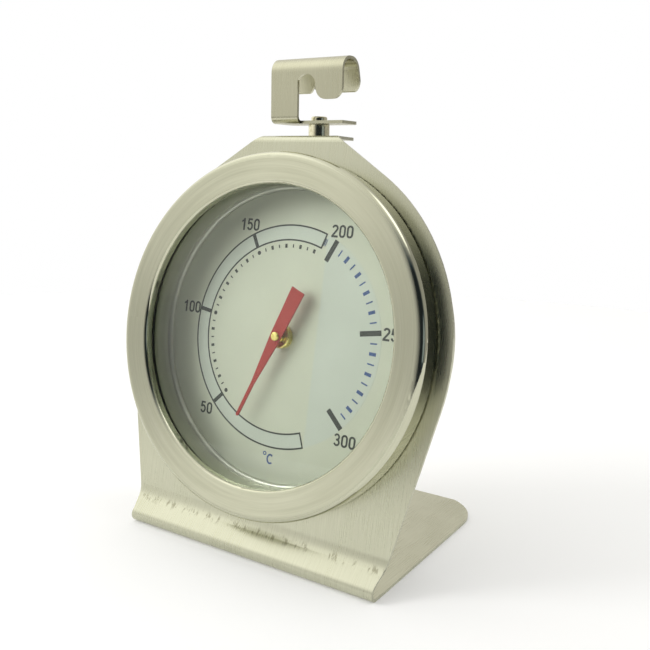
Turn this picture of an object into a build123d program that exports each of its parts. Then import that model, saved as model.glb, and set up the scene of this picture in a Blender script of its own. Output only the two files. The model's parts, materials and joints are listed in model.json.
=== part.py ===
from build123d import *
import os
from math import cos, sin, radians, pi

# Oven thermometer: a folded sheet stand, a swivelling hook and a round bimetal dial head.
# Millimetres. X to the right, Y to the back, Z up. Z = 0 is the surface that the foot stands on,
# and the origin is almost under the dial's centre.

# ---- driving dimensions ----
dial_height = 35.7        # centre of the dial above the standing surface
dial_back = 0.59          # centre of the dial behind the origin
lean = 10.0               # the face leans back by this angle
sheet = 0.5               # stand and hook sheet
bezel_r = 30.0            # widest radius of the bezel
opening_r = 24.7          # clear opening of the bezel
head_front = 8.1          # bezel front ahead of the dial
plate_front = 3.4         # stand plate's front face ahead of the dial
plate_r = 32.2            # round part of the stand plate
case_depth = 8.5          # inside depth of the case behind the dial
fit = 0.05                # radial play of a turning or sliding fit
reading = 30.0            # temperature shown at rest, degrees Celsius
scale_middle = 175.0      # temperature at the top of the dial
degrees_per_celsius = 1.08

# ---- stand ----
foot_back = 32.2          # rear edge of the foot
foot_half = 25.2          # half width at the front roll
foot_back_half = 24.4     # half width at the rear edge
foot_corner = 9.5
roll_front = -12.7        # where the flare and the foot would meet without the roll
roll_r = 1.1              # middle of the sheet round the roll
bend_height = 5.0         # middle of the sheet where the plate bends forward
bend_r = 4.0
shoulder_half = 7.2       # half width of the top edge
tab_flat = 4.1            # the tab is flat behind this line
tab_back = 12.8
tab_back_half = 5.4
tab_middle = 68.85        # height of the tab, at the middle of the sheet

# ---- hook and its rivet ----
rivet_y = 9.6
rivet_r = 1.1
rivet_head_r = 1.38
spacer_r = 1.8
spacer_height = 2.1
hook_half = 7.1
hook_front = 5.4          # front face of the hook's front wall
hook_top = 81.9
hook_back_end = 11.35     # middle of the back wall at its lower edge
front_lobe_bottom = 75.0
back_lobe_bottom = 76.5
lobe_corner = 1.9
back_lobe_corner = 2.5
notch_half = 1.95
notch_top = 79.1
strip_right = -1.65
foot_plate_back = 12.4
foot_plate_right = 6.6

# ---- dial head, heights measured from the dial's face, positive to the front ----
bezel_sheet = 0.45
rim_r = 0.95              # middle of the sheet round the bezel's outer rim
bezel_wall_end = plate_front + 0.3
lip_end = 6.32
glass_thick = 1.6
glass_r = 28.4
gasket_thick = 0.6
ring_inner = 25.6         # inside of the spacer ring's wall
ring_sheet = 0.4
ring_lip = 24.75          # the ring's rounded lip on the dial reaches in to this radius
ring_lip_high = 0.6
dial_thick = 0.4
dial_r = 28.4
case_sheet = 0.4
case_front_r = 29.25      # outer radius where the case holds the dial and the glass
case_rear_r = 27.8
vent_r = 1.7
vent_count = 8
vent_circle = 17.0
bush_r = 1.98
bush_height = 1.15
neck_r = 1.4
arbor_r = 0.5
arbor_tip_r = 0.78
arbor_tip_high = 0.35
pointer_back = 2.0
pointer_thick = 0.25
pointer_tip = 15.7
pointer_tail = 8.8
pointer_tail_half = 1.37
pointer_hub_half = 1.1
pointer_waist = 9.2       # the taper ends here and a narrow tip goes on
pointer_tip_half = 0.28

# ---- bimetal movement behind the dial ----
bracket_sheet = 0.6
bracket_half = 4.5
bracket_side = 11.9       # middle of the bracket's side leg
bracket_rear = -7.5       # middle of the bracket's rear leg
coil_inner = 2.4
coil_outer = 9.6
coil_turns = 5
coil_thick = 0.35
coil_front = -2.4
coil_back = -5.8
collet_r = 1.8
clamp_y = 2.6             # the coil's outer tail is clamped here


# ---- the head's own frame: X right, Y up the plate, Z out of the dial ----
tilt = radians(lean)
head = Plane(origin=(0, dial_back, dial_height), x_dir=(1, 0, 0), z_dir=(0, -cos(tilt), sin(tilt)))


def in_head(shape):
    """Move a shape drawn about the dial's centre into the object's frame."""
    return head.location * shape


def plate_point(up, out):
    """(Y, Z) of a point that lies up along the plate and out of the dial's face."""
    y = dial_back + up * sin(tilt) - out * cos(tilt)
    return (y, dial_height + up * cos(tilt) + out * sin(tilt))


def tube(r_out, r_in, z_low, z_high):
    """Round ring between two heights."""
    ring = Circle(r_out) - Circle(r_in)
    return extrude(Pos(0, 0, z_low) * ring, z_high - z_low)


def disc(r, z_low, z_high):
    return extrude(Pos(0, 0, z_low) * Circle(r), z_high - z_low)


def spun(points, radii, thick):
    """Sheet ring: a folded middle line of (radius, height) points, thickened and turned about Z."""
    return revolve(folded(points, radii, thick, Plane.XZ), Axis.Z)


def folded(points, radii, thick, plane):
    """Cross-section of a folded sheet: the middle line turns at the given radii, the edges are round."""
    first, second, *inner, before, last = [Vector(*point) for point in points]
    first += (second - first).normalized() * (thick / 2)
    last += (before - last).normalized() * (thick / 2)
    line = FilletPolyline(first, second, *inner, before, last, radius=radii)
    return plane * make_face(offset(line, thick / 2, side=Side.BOTH))


def stand_plate_outline():
    """The plate seen square on: round middle, straight shoulders and a taper to the foot."""
    shoulder_top = 33.6
    taper_angle = radians(12.7)
    taper_x = plate_r * cos(taper_angle)
    taper_y = -plate_r * sin(taper_angle)
    taper_end_y = taper_y - (taper_x - foot_half) / (sin(taper_angle) / cos(taper_angle))
    tangent = radians(57.3)
    body = Circle(plate_r)
    right = [
        (plate_r * cos(tangent), plate_r * sin(tangent)),
        (shoulder_half, shoulder_top),
        (shoulder_half, shoulder_top + 6),
    ]
    left = [(-x, y) for x, y in reversed(right)]
    body += make_face(Polyline(*right, *left, (0, 0), right[0]))
    right = [(taper_x, taper_y), (foot_half, taper_end_y), (foot_half, taper_end_y - 14)]
    left = [(-x, y) for x, y in reversed(right)]
    return body + make_face(Polyline(*right, *left, (0, 0), right[0]))


def stand():
    """One sheet: top tab, leaning plate with a round hole, forward flare, roll and flat foot."""
    mid_out = plate_front - sheet / 2
    tab_up = (tab_middle - dial_height - mid_out * sin(tilt)) / cos(tilt)
    bend_up = (bend_height - dial_height - mid_out * sin(tilt)) / cos(tilt)
    path = [
        (tab_back, tab_middle),
        plate_point(tab_up, mid_out),
        plate_point(bend_up, mid_out),
        (roll_front, sheet / 2),
        (foot_back, sheet / 2),
    ]
    section = folded(path, [1.0, bend_r, roll_r], sheet, Plane.YZ)
    blank = extrude(section, plate_r + 2, both=True)
    blank &= in_head(extrude(Pos(0, 0, -45) * stand_plate_outline(), 65))
    foot_plan = make_face(Polyline(
        (foot_half, -20), (foot_half, -8), (foot_back_half, foot_back + sheet),
        (-foot_back_half, foot_back + sheet), (-foot_half, -8), (-foot_half, -20), (foot_half, -20)))
    foot_plan = fillet(foot_plan.vertices().group_by(Axis.Y)[-1], foot_corner)
    around_foot = Box(90, 90, 1.4, align=(Align.CENTER, Align.CENTER, Align.MIN))
    blank -= Pos(0, 0, -0.4) * (around_foot - extrude(foot_plan, 1.4))
    tab_plan = make_face(Polyline(
        (shoulder_half, 0), (shoulder_half, tab_flat), (tab_back_half, tab_back),
        (-tab_back_half, tab_back), (-shoulder_half, tab_flat), (-shoulder_half, 0), (shoulder_half, 0)))
    tab_plan = fillet(tab_plan.vertices().group_by(Axis.Y)[-1], 1.6)
    around_tab = Pos(0, tab_flat, 0) * Box(90, 90, 2, align=(Align.CENTER, Align.MIN, Align.MIN))
    blank -= Pos(0, 0, tab_middle - 1) * (around_tab - extrude(tab_plan, 2))
    blank -= in_head(disc(case_front_r + fit, plate_front - 2, plate_front + 2))
    blank -= Pos(0, rivet_y, tab_middle) * Cylinder(rivet_r + 0.02, 3)
    return blank


def hook():
    """One strip: foot plate, front wall with a lobe, round fold and a splayed back wall."""
    mid = sheet / 2
    foot_z = tab_middle + mid + spacer_height + mid
    path = [
        (foot_plate_back, foot_z),
        (hook_front + mid, foot_z),
        (hook_front + mid, hook_top - mid),
        (9.95, hook_top - mid),
        (hook_back_end, back_lobe_bottom),
    ]
    blank = extrude(folded(path, [0.9, 2.1, 2.1], sheet, Plane.YZ), hook_half, both=True)
    above = hook_top + 2
    foot_top = foot_z + mid + 0.3
    lobe = rectangle(notch_half, front_lobe_bottom, hook_half, above)
    lobe = fillet(lobe.vertices().group_by(Axis.Y)[0], lobe_corner)
    strip = rectangle(-hook_half, foot_top, strip_right, above)
    bridge = rectangle(-hook_half, notch_top, hook_half, above) + rectangle(
        -notch_half, notch_top - notch_half, notch_half, notch_top)
    bridge -= Pos(0, notch_top - notch_half) * Circle(notch_half)
    back_lobes = Sketch()
    for side in (-1, 1):
        low, high = sorted((side * notch_half, side * hook_half))
        corners = rectangle(low, back_lobe_bottom - 0.4, high, above).vertices().group_by(Axis.Y)[0]
        back_lobes += fillet(corners, back_lobe_corner)
    middle_y = hook_front + 2.5
    keep = upright(lobe + strip + bridge, middle_y - 5, middle_y)
    keep += upright(back_lobes + bridge, middle_y, middle_y + 7)
    foot_plan = rectangle(-hook_half, hook_front - 1, strip_right, foot_plate_back) + rectangle(
        strip_right - 1, hook_front + 1.1, foot_plate_right, foot_plate_back)
    foot_plan = fillet(foot_plan.vertices().group_by(Axis.Y)[-1], 2.0)
    keep += Pos(0, 0, foot_z - 1) * extrude(foot_plan, foot_top - foot_z + 1)
    blank &= keep
    return blank - Pos(0, rivet_y, foot_z) * Cylinder(rivet_r + fit, 3)


def rectangle(x_low, y_low, x_high, y_high):
    return Pos((x_low + x_high) / 2, (y_low + y_high) / 2) * Rectangle(x_high - x_low, y_high - y_low)


def upright(sketch, y_front, y_back):
    """Stand a front-view sketch up and give it depth from one Y to another."""
    return Pos(0, y_back, 0) * extrude(Plane.XZ * sketch, y_back - y_front)


def hook_rivet():
    """Rivet fixed in the stand's tab; the hook turns under its small upper head."""
    tab_bottom = tab_middle - sheet / 2
    foot_top = tab_middle + sheet / 2 + spacer_height + sheet + 0.06
    shank = disc(rivet_r, tab_bottom - 0.3, foot_top + 0.5)
    lower = fillet(disc(2.0, tab_bottom - 0.7, tab_bottom).edges().sort_by(Axis.Z)[0], 0.4)
    upper = fillet(disc(rivet_head_r, foot_top, foot_top + 0.75).edges().sort_by(Axis.Z)[-1], 0.3)
    return Pos(0, rivet_y, 0) * (shank + lower + upper)


def hook_spacer():
    """Sleeve that holds the hook's foot clear of the stand."""
    top = tab_middle + sheet / 2
    return Pos(0, rivet_y, 0) * tube(spacer_r, rivet_r + fit, top, top + spacer_height - 0.04)


def bezel():
    """Spun ring: inner lip on the glass, flat front face, rounded rim and side wall."""
    half = bezel_sheet / 2
    return spun([
        (opening_r + half, lip_end),
        (opening_r + half, head_front - half - 0.1),
        (bezel_r - half, head_front - half + 0.24),
        (bezel_r - half - 0.2, bezel_wall_end),
    ], [0.4, rim_r], bezel_sheet)


def glass():
    pane = disc(glass_r, lip_end - 0.02 - glass_thick, lip_end - 0.02)
    return chamfer(pane.edges(), 0.15)


def glass_gasket():
    top = lip_end - 0.04 - glass_thick
    return tube(glass_r, ring_inner + 0.15, top - gasket_thick, top)


def spacer_ring():
    """Ring of Z section: a lip on the dial, a wall, and a flange out under the gasket."""
    top = lip_end - 0.06 - glass_thick - gasket_thick
    lip = tube(ring_inner + ring_sheet, ring_lip, 0.02, 0.02 + ring_lip_high)
    lip = fillet(lip.edges().group_by(Axis.Z)[-1].sort_by(SortBy.RADIUS)[0], ring_lip_high - 0.05)
    ring = lip + tube(ring_inner + ring_sheet, ring_inner, 0.02, top)
    return ring + tube(dial_r, ring_inner, top - ring_sheet, top)


def dial():
    return disc(dial_r, -dial_thick, 0) - disc(neck_r + fit, -1, 1)


def case_back():
    """Drawn cup: front wall round the glass, shoulder under the dial, rear wall and vented floor."""
    half = case_sheet / 2
    floor = -case_depth - half
    cup = spun([
        (case_front_r - half, lip_end - 0.3),
        (case_front_r - half, -dial_thick - half - 0.02),
        (case_rear_r - half, -dial_thick - half - 0.02),
        (case_rear_r - half, floor),
        (20.0, floor),
    ], [0.3, 0.35, 1.6], case_sheet)
    cup += disc(20.2, floor - half, floor + half)
    for place in PolarLocations(vent_circle, vent_count):
        cup -= place * disc(vent_r, floor - 1, floor + 1)
    return cup


def lock_ring():
    """Spring ring behind the stand plate that keeps the case in its hole."""
    top = plate_front - sheet - 0.03
    return tube(case_front_r + 1.5, case_front_r + fit, top - 0.9, top)


def dial_bush():
    """Flanged brass bush through the dial and the bracket, riveted over behind."""
    rear = -dial_thick - bracket_sheet - 0.06
    body = disc(neck_r, rear, 0) + disc(bush_r, 0, bush_height)
    body = fillet(body.edges().sort_by(Axis.Z)[-1], 0.25)
    body += disc(1.9, rear - 0.45, rear)
    return body - disc(arbor_r + fit, -5, 5)


def bracket():
    """U-shaped strip that carries the bush in front and the rear bearing behind."""
    front = -dial_thick - bracket_sheet / 2 - 0.03
    section = folded(
        [(-4.5, front), (bracket_side, front), (bracket_side, bracket_rear), (-3.6, bracket_rear)],
        [0.8, 0.8], bracket_sheet, Plane.XZ)
    strip = extrude(section, bracket_half, both=True)
    strip -= disc(neck_r + fit, -3, 3)
    return strip - disc(1.2 + fit, bracket_rear - 2, bracket_rear + 2) - clamp_hole()


def clamp_hole():
    """Hole for the clamp's rivet through the side leg."""
    middle = (coil_front + coil_back) / 2
    return Pos(bracket_side, clamp_y, middle) * Rot(0, 90, 0) * Cylinder(0.52, 6)


def rear_bearing():
    """Brass bush in the bracket's rear leg."""
    half = bracket_sheet / 2
    body = disc(1.2, bracket_rear - half, bracket_rear + half)
    body += disc(1.8, bracket_rear + half + 0.02, bracket_rear + half + 0.5)
    body += disc(1.2, bracket_rear, bracket_rear + half + 0.1)
    body += disc(1.6, bracket_rear - half - 0.35, bracket_rear - half - 0.02)
    body += disc(1.2, bracket_rear - half - 0.1, bracket_rear)
    return body - disc(arbor_r + fit, -20, 5)


def bimetal_coil():
    """Flat spiral strip on edge, with a straight tail to the clamp."""
    half = coil_thick / 2
    tail_end = clamp_y + 1.5
    x_in = coil_outer - half
    x_out = coil_outer + half
    outline = [spiral(-half), spiral(half)]
    outline += [Line((coil_inner - half, 0), (coil_inner + half, 0))]
    outline += [Polyline((x_in, 0), (x_in, tail_end), (x_out, tail_end), (x_out, 0))]
    return extrude(Pos(0, 0, coil_back) * make_face(outline), coil_front - coil_back)


def spiral(shift):
    """One edge of the coil's strip, shifted outwards from its middle line."""
    steps = coil_turns * 12
    points = []
    for i in range(steps + 1):
        share = i / steps
        r = coil_inner + (coil_outer - coil_inner) * share + shift
        angle = 2 * pi * coil_turns * share
        points.append((r * cos(angle), r * sin(angle)))
    return Spline(*points)


def coil_clamp():
    """Block between the coil's tail and the bracket's side leg."""
    x_low = coil_outer + coil_thick / 2 + 0.02
    x_high = bracket_side - bracket_sheet / 2 - 0.02
    middle = (coil_front + coil_back) / 2
    block = Pos((x_low + x_high) / 2, clamp_y, middle) * Box(x_high - x_low, 2.4, 2.6)
    return block - clamp_hole()


def clamp_rivet():
    """Small rivet through the side leg and the clamp block."""
    middle = (coil_front + coil_back) / 2
    start = coil_outer + coil_thick / 2 + 0.1
    outer = bracket_side + bracket_sheet / 2 + 0.02
    pin = disc(0.5, start, outer) + disc(0.9, outer, outer + 0.35)
    return Pos(0, clamp_y, middle) * Rot(0, 90, 0) * pin


def coil_collet():
    """Brass sleeve pressed on the arbor, inside the coil."""
    return tube(collet_r, arbor_r + 0.01, bracket_rear + 1.1, -1.8)


def arbor():
    """Thin shaft from the rear bearing to the pointer, riveted over at the tip."""
    shaft = disc(arbor_r, bracket_rear - 0.5, pointer_back + pointer_thick)
    shaft += disc(0.95, bush_height + 0.15, pointer_back - 0.01)
    pointer_front = pointer_back + pointer_thick
    tip = disc(arbor_tip_r, pointer_front + 0.01, pointer_front + arbor_tip_high)
    tip = fillet(tip.edges().sort_by(Axis.Z)[-1], 0.26)
    return shaft + tip + disc(arbor_r, pointer_back, pointer_front + 0.1)


def pointer():
    """Flat hand: wide tail, taper past the hub, and a narrow tip with a round end."""
    side = [
        (-pointer_tail, pointer_tail_half),
        (0, pointer_hub_half),
        (pointer_waist, pointer_tip_half + 0.05),
        (pointer_tip - pointer_tip_half, pointer_tip_half),
    ]
    other_side = [(x, -y) for x, y in reversed(side)]
    blade = make_face(Polyline(*side, *other_side, side[0]))
    blade += Pos(pointer_tip - pointer_tip_half, 0) * Circle(pointer_tip_half)
    blade -= Circle(arbor_r + 0.01)
    angle = 90 - degrees_per_celsius * (reading - scale_middle)
    return Rot(0, 0, angle) * extrude(Pos(0, 0, pointer_back) * blade, pointer_thick)


upright_nodes = {
    "stand": stand,
    "hook": hook,
    "hook_rivet": hook_rivet,
    "hook_spacer": hook_spacer,
}
head_nodes = {
    "bezel": bezel,
    "glass": glass,
    "glass_gasket": glass_gasket,
    "spacer_ring": spacer_ring,
    "dial": dial,
    "case_back": case_back,
    "lock_ring": lock_ring,
    "dial_bush": dial_bush,
    "bracket": bracket,
    "rear_bearing": rear_bearing,
    "bimetal_coil": bimetal_coil,
    "coil_clamp": coil_clamp,
    "clamp_rivet": clamp_rivet,
    "coil_collet": coil_collet,
    "arbor": arbor,
    "pointer": pointer,
}

os.makedirs("parts", exist_ok=True)
for name, make in upright_nodes.items():
    export_step(make(), f"parts/{name}.step")
for name, make in head_nodes.items():
    export_step(in_head(make()), f"parts/{name}.step")
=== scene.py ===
import json
import math

import bmesh
import bpy
from mathutils import Euler, Matrix, Vector


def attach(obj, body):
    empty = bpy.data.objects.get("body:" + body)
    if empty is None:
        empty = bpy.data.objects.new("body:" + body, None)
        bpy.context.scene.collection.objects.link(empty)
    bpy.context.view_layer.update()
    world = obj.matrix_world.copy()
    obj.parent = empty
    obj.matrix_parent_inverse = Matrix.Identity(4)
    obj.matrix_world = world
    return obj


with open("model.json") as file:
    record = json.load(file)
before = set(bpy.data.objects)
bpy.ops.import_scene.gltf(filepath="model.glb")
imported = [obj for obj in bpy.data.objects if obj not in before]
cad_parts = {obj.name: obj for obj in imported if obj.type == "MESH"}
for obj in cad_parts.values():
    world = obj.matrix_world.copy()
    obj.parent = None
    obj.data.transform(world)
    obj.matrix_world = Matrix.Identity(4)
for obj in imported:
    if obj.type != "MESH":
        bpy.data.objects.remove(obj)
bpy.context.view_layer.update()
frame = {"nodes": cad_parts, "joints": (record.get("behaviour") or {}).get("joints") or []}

# ---- the dial head's own frame, from the pointer's joint: X right, Y up the plate, Z out of the dial ----
MM = 0.001
joint = next(j for j in frame["joints"] if j["name"] == "pointer_turn")
dial_centre = Vector(joint["pos_m"])
dial_normal = Vector(joint["axis"]).normalized()
lean = math.asin(dial_normal.z)
head_turn = Euler((math.pi / 2 - lean, 0, 0))
head_matrix = Matrix.Translation(dial_centre) @ head_turn.to_matrix().to_4x4()

# ---- the printed scale, in millimetres on the dial ----
DOT_R = 15.38             # radius of the small inner marks
BAND_IN = 16.4
BAND_OUT = 18.88
BAND_END = 70.0           # the band runs from 70 degrees round the left to -70 degrees
BAND_LINE = 0.27
PRINT_THICK = 0.02
PALE_SHORT = 0.6          # the pale area stops this many degrees inside the band's ends
FIFTY_DOT_R = 0.36        # round mark at every fifty degrees
FIFTY_WIDE = 0.68
TEN_HALF, TEN_WIDE = 0.34, 0.46       # half length and width of a mark
FIVE_HALF, FIVE_WIDE = 0.29, 0.22
HOT_IN, HOT_WIDE = 14.98, 0.86        # the bold bars of the hot half
BLUE_IN, BLUE_OUT = 16.9, 18.15
BLUE_TEN_WIDE, BLUE_FIVE_WIDE = 0.56, 0.24
HAIR_IN, HAIR_OUT, HAIR_WIDE = 16.95, 18.2, 0.12
HAIR_SHIFTS = (0.8, 1.7)  # degrees short of the band's end
SCALE_MIDDLE = 175.0      # temperature at the top
DEGREES_PER_CELSIUS = 1.08

# ---- lettering: size of a number's cell and the places of the labels (radius, degrees) ----
DIGIT_HIGH = 2.1
DIGIT_WIDE = 1.22
DIGIT_STEP = 1.43
DIGIT_STROKE = 0.34
UNIT_WIDE, UNIT_HIGH, UNIT_STROKE = 0.58, 0.74, 0.3     # half sizes and pen of the C
UNIT_PLACE = (0.25, -20.9)
DEGREE_R, DEGREE_STROKE = 0.27, 0.18
DEGREE_PLACE = (-0.98, -20.1)
LABELS = {50: (20.9, 224.6), 100: (21.1, 172.0), 150: (20.87, 117.6),
          200: (20.6, 63.1), 250: (21.2, 7.8), 300: (20.8, -46.5)}


# ------------------------------------------------------------------ shader helpers
class Tree:
    """A material's or a world's node tree, with short calls for the nodes used here."""

    def __init__(self, name, world=False):
        self.owner = (bpy.data.worlds if world else bpy.data.materials).new(name)
        self.owner.use_nodes = True
        self.tree = self.owner.node_tree
        self.tree.nodes.clear()
        self.out = self.add("ShaderNodeOutputWorld" if world else "ShaderNodeOutputMaterial")

    def add(self, kind, **settings):
        node = self.tree.nodes.new(kind)
        for key, value in settings.items():
            setattr(node, key, value)
        return node

    def link(self, source, target):
        self.tree.links.new(source, target)

    def feed(self, value, socket):
        """Connect a socket, or set a plain value."""
        if isinstance(value, bpy.types.NodeSocket):
            self.link(value, socket)
        else:
            socket.default_value = value

    def math(self, operation, a, b=0.0, c=0.0):
        node = self.add("ShaderNodeMath", operation=operation)
        for value, socket in zip((a, b, c), node.inputs):
            self.feed(value, socket)
        return node.outputs[0]

    def vector(self, operation, *values):
        node = self.add("ShaderNodeVectorMath", operation=operation)
        for value, socket in zip(values, node.inputs):
            self.feed(value, socket)
        return node.outputs["Value" if operation in ("LENGTH", "DOT_PRODUCT") else "Vector"]

    def combine(self, x, y, z):
        node = self.add("ShaderNodeCombineXYZ")
        for value, socket in zip((x, y, z), node.inputs):
            self.feed(value, socket)
        return node.outputs[0]

    def split(self, vector):
        node = self.add("ShaderNodeSeparateXYZ")
        self.link(vector, node.inputs[0])
        return node.outputs

    def millimetres(self, in_head):
        """Object coordinates in millimetres, in the object's frame or in the dial head's."""
        coordinates = self.add("ShaderNodeTexCoord")
        mapping = self.add("ShaderNodeMapping", vector_type="TEXTURE")
        mapping.inputs["Scale"].default_value = (MM, MM, MM)
        if in_head:
            mapping.inputs["Location"].default_value = dial_centre
            mapping.inputs["Rotation"].default_value = head_turn
        self.link(coordinates.outputs["Object"], mapping.inputs["Vector"])
        return mapping.outputs[0]

    def noise(self, vector, scale=1.0, detail=3.0, rough=0.5):
        node = self.add("ShaderNodeTexNoise")
        self.link(vector, node.inputs["Vector"])
        node.inputs["Scale"].default_value = scale
        node.inputs["Detail"].default_value = detail
        node.inputs["Roughness"].default_value = rough
        return node.outputs["Fac"]

    def remap(self, value, from_low, from_high, to_low, to_high, smooth=False):
        node = self.add("ShaderNodeMapRange", interpolation_type="SMOOTHSTEP" if smooth else "LINEAR")
        for item, socket in zip((value, from_low, from_high, to_low, to_high), node.inputs):
            self.feed(item, socket)
        return node.outputs[0]

    def even(self, value):
        """A noise's middle range, spread over 0 to 1."""
        return self.remap(value, 0.35, 0.65, 0.0, 1.0)

    def vary(self, value, low, high):
        """A value that follows a noise from low to high."""
        return self.remap(value, 0.3, 0.7, low, high)

    def mix(self, share, low, high):
        node = self.add("ShaderNodeMix", data_type="RGBA")
        self.feed(share, node.inputs[0])
        self.feed(low, node.inputs[6])
        self.feed(high, node.inputs[7])
        return node.outputs[2]

    def bump(self, height, strength, distance_mm):
        node = self.add("ShaderNodeBump")
        self.link(height, node.inputs["Height"])
        node.inputs["Strength"].default_value = strength
        node.inputs["Distance"].default_value = distance_mm * MM
        return node.outputs[0]

    def across(self, vector):
        """Object vector turned with the object: the way that a brushed finish spreads light."""
        node = self.add("ShaderNodeVectorTransform", vector_type="VECTOR",
                        convert_from="OBJECT", convert_to="WORLD")
        self.feed(vector, node.inputs[0])
        return node.outputs[0]

    def surface(self, **inputs):
        """Principled shader with the given sockets, linked to the output."""
        shader = self.add("ShaderNodeBsdfPrincipled")
        for key, value in inputs.items():
            self.feed(value, shader.inputs[key.replace("_", " ")])
        self.link(shader.outputs[0], self.out.inputs["Surface"])
        return shader


def colour(r, g, b):
    """Linear colour from 0-255 display values."""
    def linear(v):
        v /= 255
        return v / 12.92 if v <= 0.04045 else ((v + 0.055) / 1.055) ** 2.4
    return (linear(r), linear(g), linear(b), 1.0)


# ------------------------------------------------------------------ materials
STEEL = colour(206, 206, 184)
STEEL_DARK = colour(186, 186, 163)
HOOK_LOW, HOOK_HIGH = colour(179, 177, 153), colour(199, 197, 173)
DIAL_LOW, DIAL_HIGH = colour(198, 202, 180), colour(210, 214, 192)
PALE_LOW, PALE_HIGH = colour(194, 201, 185), colour(206, 213, 198)
RING_LOW, RING_HIGH = colour(180, 182, 166), colour(196, 198, 182)
SPUN_ROUGH_LOW, SPUN_ROUGH_HIGH = 0.26, 0.36
FACE_ROUGH_LOW, FACE_ROUGH_HIGH = 0.34, 0.44
POLISHED = 0.1
FACE_INNER = (24.85, 25.15)   # millimetres over which the brushed face starts and ends
FACE_OUTER = (29.1, 29.45)
MARK = colour(120, 116, 92)
MARK_HEIGHT = 4.4         # millimetres up the stand, at the bend
MARK_REACH = 0.9
MARK_BEHIND = -6.0        # the foot and the hook lie behind this
MARK_STRETCH = (1.6, 0.5, 0.5)
MARK_FROM_NOISE = (0.53, 0.62)
MARK_SHARE = 0.6


def press_marks(t, place):
    """Share of the tool's scuffs: short dark ticks in a row along the stand's bend."""
    _, y, z = t.split(place)
    off_line = t.math("ABSOLUTE", t.math("SUBTRACT", z, MARK_HEIGHT))
    near_line = t.remap(off_line, 0.0, MARK_REACH, 1.0, 0.0, True)
    in_front = t.math("LESS_THAN", y, MARK_BEHIND)
    ticks = t.noise(t.vector("MULTIPLY", place, MARK_STRETCH), 1.0, 3.0, 0.7)
    dark = t.remap(ticks, *MARK_FROM_NOISE, 0.0, MARK_SHARE, True)
    return t.math("MULTIPLY", t.math("MULTIPLY", near_line, in_front), dark)


def sheet_steel(name, low, high):
    """Brushed sheet whose grain follows its folds, so it varies only across X."""
    t = Tree(name)
    place = t.millimetres(False)
    grain = t.noise(t.vector("MULTIPLY", place, (6.0, 0.15, 0.15)), 1.0, 4.0, 0.65)
    cloud = t.noise(place, 0.12, 2.0)
    tone = t.math("ADD", t.math("MULTIPLY", grain, 0.6), t.math("MULTIPLY", cloud, 0.4))
    base = t.mix(t.even(tone), low, high)
    base = t.mix(press_marks(t, place), base, MARK)
    rough = t.remap(tone, 0.35, 0.65, 0.24, 0.34)
    t.surface(Base_Color=base, Metallic=1.0, Roughness=rough, Anisotropic=0.7, Tangent=t.across((1, 0, 0)),
              Normal=t.bump(grain, 0.15, 0.01))
    return t.owner


def bezel_steel(name):
    """Face brushed in circles, with a polished rim, side wall and inner lip."""
    t = Tree(name)
    x, y, _ = t.split(t.millimetres(True))
    radius = t.vector("LENGTH", t.combine(x, y, 0.0))
    angle = t.math("ARCTAN2", y, x)
    streak_place = t.combine(t.math("MULTIPLY", radius, 5.0), t.math("MULTIPLY", angle, 2.0), 0.0)
    grain = t.noise(streak_place, 1.0, 4.0, 0.65)
    broad = t.noise(t.combine(radius, t.math("MULTIPLY", angle, 1.2), 0.0), 1.1, 2.0)
    on_face = t.math("MULTIPLY", t.remap(radius, *FACE_INNER, 0.0, 1.0, True),
                     t.remap(radius, *FACE_OUTER, 1.0, 0.0, True))
    tone = t.math("ADD", t.math("MULTIPLY", grain, 0.5), t.math("MULTIPLY", broad, 0.5))
    tone = t.even(tone)
    base = t.mix(tone, STEEL_DARK, STEEL)
    face_rough = t.remap(tone, 0.0, 1.0, FACE_ROUGH_LOW, FACE_ROUGH_HIGH)
    rough = t.math("ADD", t.math("MULTIPLY", on_face, face_rough),
                   t.math("MULTIPLY", t.math("SUBTRACT", 1.0, on_face), POLISHED))
    outward = t.combine(x, t.math("MULTIPLY", y, math.sin(lean)), t.math("MULTIPLY", y, math.cos(lean)))
    t.surface(Base_Color=base, Metallic=1.0, Roughness=rough, Anisotropic=0.85, Tangent=t.across(outward),
              Normal=t.bump(t.math("MULTIPLY", grain, on_face), 0.15, 0.01))
    return t.owner


def spun_steel(name):
    """Drawn or turned metal with fine circular lines."""
    t = Tree(name)
    x, y, z = t.split(t.millimetres(True))
    radius = t.vector("LENGTH", t.combine(x, y, 0.0))
    grain = t.noise(t.combine(t.math("MULTIPLY", radius, 5.0), 0.0, t.math("MULTIPLY", z, 5.0)), 1.0, 3.0)
    base = t.mix(t.even(grain), STEEL_DARK, STEEL)
    t.surface(Base_Color=base, Metallic=1.0, Roughness=t.vary(grain, SPUN_ROUGH_LOW, SPUN_ROUGH_HIGH),
              Normal=t.bump(grain, 0.15, 0.01))
    return t.owner


def plain_metal(name, low, high, rough):
    """Small plated or turned part with a slightly uneven finish."""
    t = Tree(name)
    spot = t.noise(t.millimetres(False), 3.0, 3.0)
    base = t.mix(t.even(spot), low, high)
    t.surface(Base_Color=base, Metallic=1.0, Roughness=t.vary(spot, rough * 0.8, rough * 1.2),
              Normal=t.bump(spot, 0.1, 0.01))
    return t.owner


def dial_finish(name, low, high, metallic=0.35, rough=0.42):
    """Satin printed metal with a fine pearly speckle."""
    t = Tree(name)
    place = t.millimetres(True)
    speckle = t.noise(place, 9.0, 2.0, 0.7)
    cloud = t.noise(place, 0.15, 2.0)
    tone = t.math("ADD", t.math("MULTIPLY", speckle, 0.7), t.math("MULTIPLY", cloud, 0.3))
    base = t.mix(t.even(tone), low, high)
    t.surface(Base_Color=base, Metallic=metallic, Roughness=t.vary(speckle, rough - 0.04, rough + 0.04),
              Normal=t.bump(speckle, 0.12, 0.02))
    return t.owner


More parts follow.
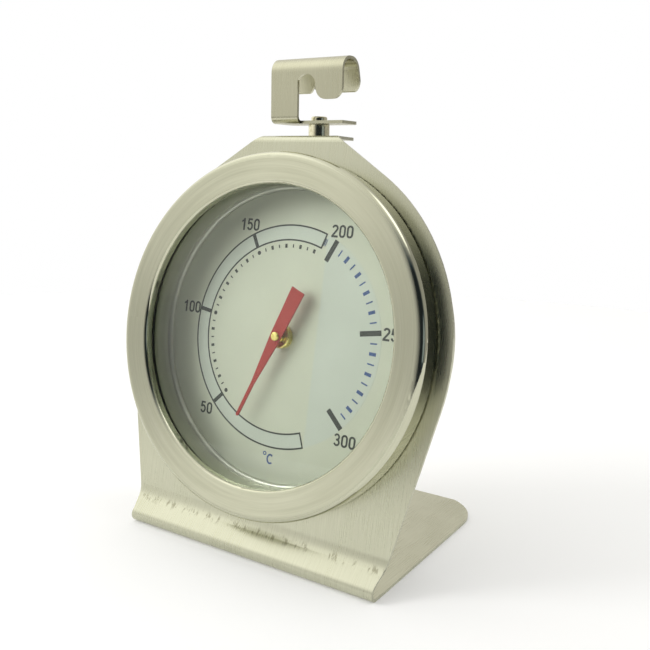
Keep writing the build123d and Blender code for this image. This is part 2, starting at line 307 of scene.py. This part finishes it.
def ink(name, low, high):
    """Screen print: small changes in the thickness of the ink."""
    t = Tree(name)
    cover = t.noise(t.millimetres(True), 4.0, 3.0, 0.6)
    base = t.mix(t.even(cover), low, high)
    t.surface(Base_Color=base, Roughness=t.vary(cover, 0.45, 0.6), Normal=t.bump(cover, 0.1, 0.01))
    return t.owner


def red_paint(name):
    t = Tree(name)
    cover = t.noise(t.millimetres(True), 2.5, 3.0, 0.6)
    base = t.mix(t.even(cover), colour(160, 34, 22), colour(176, 46, 32))
    t.surface(Base_Color=base, Roughness=t.vary(cover, 0.38, 0.5), Normal=t.bump(cover, 0.15, 0.02))
    return t.owner


def rubber(name):
    t = Tree(name)
    grain = t.noise(t.millimetres(True), 6.0, 3.0)
    base = t.mix(grain, colour(26, 27, 26), colour(44, 45, 43))
    t.surface(Base_Color=base, Roughness=t.vary(grain, 0.55, 0.75), Normal=t.bump(grain, 0.2, 0.02))
    return t.owner


def window_glass(name):
    """Clear pane that lets the lamps through to the dial."""
    t = Tree(name)
    smear = t.noise(t.millimetres(True), 0.2, 3.0)
    pane = t.add("ShaderNodeBsdfPrincipled")
    pane.inputs["Base Color"].default_value = (0.96, 0.98, 0.97, 1.0)
    pane.inputs["Transmission Weight"].default_value = 1.0
    pane.inputs["IOR"].default_value = 1.5
    pane.inputs["Specular Tint"].default_value = (0.5, 0.5, 0.5, 1.0)
    t.feed(t.vary(smear, 0.0, 0.02), pane.inputs["Roughness"])
    clear = t.add("ShaderNodeBsdfTransparent")
    clear.inputs["Color"].default_value = (0.94, 0.96, 0.95, 1.0)
    rays = t.add("ShaderNodeLightPath")
    mixer = t.add("ShaderNodeMixShader")
    t.link(rays.outputs["Is Shadow Ray"], mixer.inputs[0])
    t.link(pane.outputs[0], mixer.inputs[1])
    t.link(clear.outputs[0], mixer.inputs[2])
    t.link(mixer.outputs[0], t.out.inputs["Surface"])
    return t.owner


brass = plain_metal("brass", colour(228, 210, 112), colour(248, 236, 150), 0.3)
plated = plain_metal("plated_steel", colour(206, 200, 168), colour(232, 228, 200), 0.16)
inner_steel = plain_metal("inner_steel", colour(150, 152, 146), colour(186, 188, 180), 0.35)
node_finish = {
    "stand": sheet_steel("stand_sheet", STEEL_DARK, STEEL),
    "hook": sheet_steel("hook_sheet", HOOK_LOW, HOOK_HIGH),
    "hook_rivet": plated,
    "hook_spacer": plated,
    "bezel": bezel_steel("bezel_steel"),
    "glass": window_glass("window"),
    "glass_gasket": rubber("gasket"),
    "spacer_ring": dial_finish("ring_metal", RING_LOW, RING_HIGH, 0.9, 0.42),
    "dial": dial_finish("dial_paint", DIAL_LOW, DIAL_HIGH),
    "case_back": spun_steel("case_steel"),
    "lock_ring": inner_steel,
    "dial_bush": brass,
    "bracket": inner_steel,
    "rear_bearing": brass,
    "bimetal_coil": inner_steel,
    "coil_clamp": inner_steel,
    "clamp_rivet": inner_steel,
    "coil_collet": brass,
    "arbor": brass,
    "pointer": red_paint("pointer_paint"),
}
for name, material in node_finish.items():
    mesh = frame["nodes"][name].data
    mesh.materials.clear()
    mesh.materials.append(material)


# ------------------------------------------------------------------ print on the dial
def printed(name, shapes, material, level=0):
    """Thin prisms on the dial from outlines in millimetres; a higher level lies on a lower one."""
    mesh = bpy.data.meshes.new(name)
    bm = bmesh.new()
    low = level * PRINT_THICK
    for outline in shapes:
        floor = [bm.verts.new((x, y, low)) for x, y in outline]
        roof = [bm.verts.new((x, y, low + PRINT_THICK)) for x, y in outline]
        bm.faces.new(roof)
        bm.faces.new(list(reversed(floor)))
        for i in range(len(outline)):
            j = (i + 1) % len(outline)
            bm.faces.new((floor[i], floor[j], roof[j], roof[i]))
    bm.normal_update()
    bmesh.ops.triangulate(bm, faces=[face for face in bm.faces if len(face.verts) > 4])
    bmesh.ops.recalc_face_normals(bm, faces=bm.faces)
    bm.transform(head_matrix @ Matrix.Scale(MM, 4))
    bm.to_mesh(mesh)
    bm.free()
    mesh.materials.append(material)
    piece = bpy.data.objects.new(name, mesh)
    bpy.context.collection.objects.link(piece)
    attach(piece, "stand")
    return piece


def polar(radius, degrees):
    return (radius * math.cos(math.radians(degrees)), radius * math.sin(math.radians(degrees)))


def dial_angle(celsius):
    return 90 - DEGREES_PER_CELSIUS * (celsius - SCALE_MIDDLE)


def arc(cx, cy, rx, ry, start, end, step=10):
    """Points along an arc of an ellipse, in degrees."""
    count = max(2, math.ceil(abs(end - start) / step))
    turns = [math.radians(start + (end - start) * i / count) for i in range(count + 1)]
    return [(cx + rx * math.cos(a), cy + ry * math.sin(a)) for a in turns]


def arc_strip(r_in, r_out, start, end):
    """Outline of a curved strip about the dial's centre."""
    inner = arc(0, 0, r_in, r_in, start, end, 1.5)
    return inner + arc(0, 0, r_out, r_out, end, start, 1.5)


def stroke(points, width):
    """Outline of a pen stroke with square ends and mitred corners."""
    left, right = [], []
    for i, (x, y) in enumerate(points):
        before = Vector(points[i]) - Vector(points[i - 1]) if i else Vector(points[1]) - Vector(points[0])
        after = Vector(points[i + 1]) - Vector(points[i]) if i + 1 < len(points) else before
        before, after = before.normalized(), after.normalized()
        across = Vector((-before.y - after.y, before.x + after.x)).normalized()
        reach = width / 2 / max(0.4, across.dot(Vector((-before.y, before.x))))
        left.append((x + across.x * reach, y + across.y * reach))
        right.append((x - across.x * reach, y - across.y * reach))
    return left + right[::-1]


def bar(r_in, r_out, degrees, width):
    """Straight mark along a radius."""
    return stroke([polar(r_in, degrees), polar(r_out, degrees)], width)


def ring(cx, cy, rx, ry, width):
    """Closed loop as two strokes."""
    return [stroke(arc(cx, cy, rx, ry, start, start + 180), width) for start in (0, 180)]


dark_ink = ink("dark_ink", colour(48, 54, 46), colour(62, 68, 58))
blue_ink = ink("blue_ink", colour(52, 80, 128), colour(72, 100, 148))
pale_ink = dial_finish("pale_blue_ink", PALE_LOW, PALE_HIGH)

# pale area: inside the band's outer radius and right of the line that joins the band's ends
pale_end = BAND_END - PALE_SHORT
printed("print_pale_area", [arc(0, 0, BAND_OUT, BAND_OUT, pale_end, -pale_end, 2)], pale_ink)
printed("print_band_fill", [arc_strip(BAND_IN, BAND_OUT, BAND_END, 360 - BAND_END)], pale_ink)

dark = []
for radius in (BAND_IN, BAND_OUT):
    dark.append(arc_strip(radius - BAND_LINE / 2, radius + BAND_LINE / 2, BAND_END, 360 - BAND_END))
for end in (BAND_END, -BAND_END):
    dark.append(bar(BAND_IN - BAND_LINE / 2, BAND_OUT + BAND_LINE / 2, end, BAND_LINE))
for celsius in range(50, 195, 5):
    angle = dial_angle(celsius)
    if celsius % 50 == 0:
        dark.append(arc(*polar(DOT_R, angle), FIFTY_DOT_R, FIFTY_DOT_R, 0, 342, 18))
        dark.append(bar(BAND_IN, BAND_OUT, angle, FIFTY_WIDE))
    elif celsius % 10 == 0:
        dark.append(bar(DOT_R - TEN_HALF, DOT_R + TEN_HALF, angle, TEN_WIDE))
    else:
        dark.append(bar(DOT_R - FIVE_HALF, DOT_R + FIVE_HALF, angle, FIVE_WIDE))
for celsius in (200, 250, 300):
    dark.append(bar(HOT_IN, BAND_OUT, dial_angle(celsius), HOT_WIDE))
printed("print_dark_marks", dark, dark_ink, 1)

blue = []
for celsius in range(205, 300, 5):
    if celsius != 250:
        wide = BLUE_TEN_WIDE if celsius % 10 == 0 else BLUE_FIVE_WIDE
        blue.append(bar(BLUE_IN, BLUE_OUT, dial_angle(celsius), wide))
for shift in HAIR_SHIFTS:
    blue.append(bar(HAIR_IN, HAIR_OUT, BAND_END - shift, HAIR_WIDE))
printed("print_blue_marks", blue, blue_ink, 1)


def digit(figure):
    """Upright bold figure centred on the origin, as outlines."""
    pen = DIGIT_STROKE
    across = (DIGIT_WIDE - pen) / 2
    up = (DIGIT_HIGH - pen) / 2
    foot, head = -up - pen / 2, up + pen / 2
    if figure == "0":
        side = up - across
        upper = [(across, 0)] + arc(0, side, across, across, 0, 180, 15) + [(-across, 0)]
        return [stroke(upper, pen), stroke([(-x, -y) for x, y in upper], pen)]
    if figure == "1":
        return [[(-0.04, foot), (0.32, foot), (0.32, head), (0.04, head),
                 (-0.12, 0.78), (-0.42, 0.62), (-0.42, 0.3), (-0.04, 0.46)]]
    if figure == "2":
        hook = arc(0, 0.45, across, up - 0.45, 170, -30, 15)
        leg = [(-across + 0.02, foot + pen * 0.8)]
        return [stroke(hook + leg, pen), stroke([(-across - pen / 2, -up), (across + pen / 2, -up)], pen)]
    if figure == "3":
        upper = arc(-0.02, 0.46, across - 0.04, up - 0.46, 165, -80, 15) + [(-0.16, 0.02)]
        lower = [(-0.16, 0.02)] + arc(0, -0.42, across, up - 0.42, 85, -165, 15)
        return [stroke(upper, pen * 0.9), stroke(lower, pen * 0.9)]
    top = stroke([(across, up), (-across + 0.12, up), (-across + 0.02, 0.0)], pen * 0.95)
    bowl = arc(-0.02, -0.3, across + 0.02, up - 0.3, 140, -160, 15)
    return [top, stroke(bowl, pen * 0.95)]


def moved(outlines, x, y):
    return [[(px + x, py + y) for px, py in outline] for outline in outlines]


figures = []
for celsius, place in LABELS.items():
    x, y = polar(*place)
    text = str(celsius)
    for i, figure in enumerate(text):
        figures += moved(digit(figure), x + (i - (len(text) - 1) / 2) * DIGIT_STEP, y)
printed("print_numbers", figures, dark_ink, 1)

unit = moved([stroke(arc(0, 0, UNIT_WIDE, UNIT_HIGH, 48, 312, 12), UNIT_STROKE)], *UNIT_PLACE)
unit += ring(*DEGREE_PLACE, DEGREE_R, DEGREE_R, DEGREE_STROKE)
printed("print_unit", unit, blue_ink, 1)


# ------------------------------------------------------------------ floor, light and camera
FLOOR_R = 0.3
FLOOR_GLOW = 0.2
KEY_AZIMUTH, KEY_ELEVATION, KEY_DISTANCE = -48, 28, 0.7
KEY_SIZE = 0.22
KEY_POWER = 1.5
AIM_HEIGHT = 0.04         # the lamp points at the object's middle


def direction(azimuth, elevation):
    """Unit vector from the object; azimuth 0 is the front, 90 its right."""
    a, e = math.radians(azimuth), math.radians(elevation)
    return Vector((math.sin(a) * math.cos(e), -math.cos(a) * math.cos(e), math.sin(e)))


def area_light(name, azimuth, elevation, distance, size, power):
    """Soft box that faces the object's middle from an azimuth and elevation in degrees."""
    aim = Vector((0, 0, AIM_HEIGHT))
    away = direction(azimuth, elevation)
    light = bpy.data.lights.new(name, "AREA")
    light.shape = "RECTANGLE"
    light.size, light.size_y = size
    light.energy = power
    lamp = bpy.data.objects.new(name, light)
    lamp.location = aim + away * distance
    lamp.rotation_euler = away.to_track_quat("Z", "Y").to_euler()
    bpy.context.collection.objects.link(lamp)
    return lamp


def floor():
    """Round pale table top; beyond it the room's white carries on."""
    t = Tree("floor_paint")
    cloud = t.noise(t.millimetres(False), 0.01, 2.0)
    base = t.mix(cloud, (0.80, 0.80, 0.80, 1.0), (0.83, 0.83, 0.83, 1.0))
    t.surface(Base_Color=base, Roughness=0.8, Specular_IOR_Level=0.2,
              Emission_Color=(1.0, 1.0, 1.0, 1.0), Emission_Strength=FLOOR_GLOW)
    bm = bmesh.new()
    bmesh.ops.create_circle(bm, cap_ends=True, segments=128, radius=FLOOR_R)
    mesh = bpy.data.meshes.new("floor")
    bm.to_mesh(mesh)
    bm.free()
    mesh.materials.append(t.owner)
    ground = bpy.data.objects.new("floor", mesh)
    bpy.context.collection.objects.link(ground)


# what the metal sees: azimuth, elevation, full and outer half angle, strength, tint
ROOM_TONE = (0.44, 0.43, 0.41)
ROOM = [
    (-72, 12, 36, 62, 0.68, (1.0, 1.0, 0.97)),      # large soft box to the front left
    (-70, 75, 20, 65, 0.62, (1.0, 1.0, 0.98)),      # bright ceiling
    (118, 62, 8, 20, 1.60, (1.0, 1.0, 0.98)),       # lamp above, behind to the right
    (46, 6, 26, 66, -0.53, (1.02, 0.96, 0.88)),     # dark side, where the camera stands
    (76, 8, 6, 15, 0.50, (0.92, 1.0, 1.06)),        # narrow window to the right
    (-147, 12, 15, 45, 0.38, (1.0, 0.96, 0.90)),    # pale wall behind to the left
    (-32, -26, 16, 32, -0.60, (1.0, 1.0, 1.0)),     # below the table's front edge
]


def room():
    """Soft light from all round; the camera itself sees plain white."""
    t = Tree("studio", True)
    look = t.vector("NORMALIZE", t.add("ShaderNodeTexCoord").outputs["Generated"])
    light = t.combine(*ROOM_TONE)
    for azimuth, elevation, inner, outer, strength, tint in ROOM:
        towards = t.vector("DOT_PRODUCT", look, direction(azimuth, elevation))
        edge, full = math.cos(math.radians(outer)), math.cos(math.radians(inner))
        share = t.remap(towards, edge, full, 0, strength, True)
        light = t.vector("MULTIPLY_ADD", t.combine(share, share, share), tint, light)
    light = t.vector("MAXIMUM", light, (0.02, 0.025, 0.03))
    rays = t.add("ShaderNodeLightPath").outputs
    seen = t.add("ShaderNodeBackground")
    t.link(t.mix(rays["Is Camera Ray"], light, (1, 1, 1, 1)), seen.inputs["Color"])
    t.link(seen.outputs[0], t.out.inputs["Surface"])
    bpy.context.scene.world = t.owner


floor()
room()
key = area_light("key_left", KEY_AZIMUTH, KEY_ELEVATION, KEY_DISTANCE, (KEY_SIZE, KEY_SIZE), KEY_POWER)
key.visible_glossy = False

CAMERA_AZIMUTH = 33.2
CAMERA_ELEVATION = 10.7
CAMERA_ROLL = 1.27
CAMERA_DISTANCE = 0.1378
CAMERA_AIM = Vector((0.00616, 0.00338, 0.03808))
LENS = 45.5
SENSOR = 36
CLIP_START = 0.005


def camera():
    away = direction(CAMERA_AZIMUTH, CAMERA_ELEVATION)
    data = bpy.data.cameras.new("camera")
    data.lens = LENS
    data.sensor_width = SENSOR
    data.clip_start = CLIP_START
    viewer = bpy.data.objects.new("camera", data)
    viewer.location = CAMERA_AIM + away * CAMERA_DISTANCE
    turn = away.to_track_quat("Z", "Y").to_matrix() @ Matrix.Rotation(math.radians(CAMERA_ROLL), 3, "Z")
    viewer.rotation_euler = turn.to_euler()
    bpy.context.collection.objects.link(viewer)
    bpy.context.scene.camera = viewer


camera()
bpy.context.scene.view_settings.view_transform = "Standard"
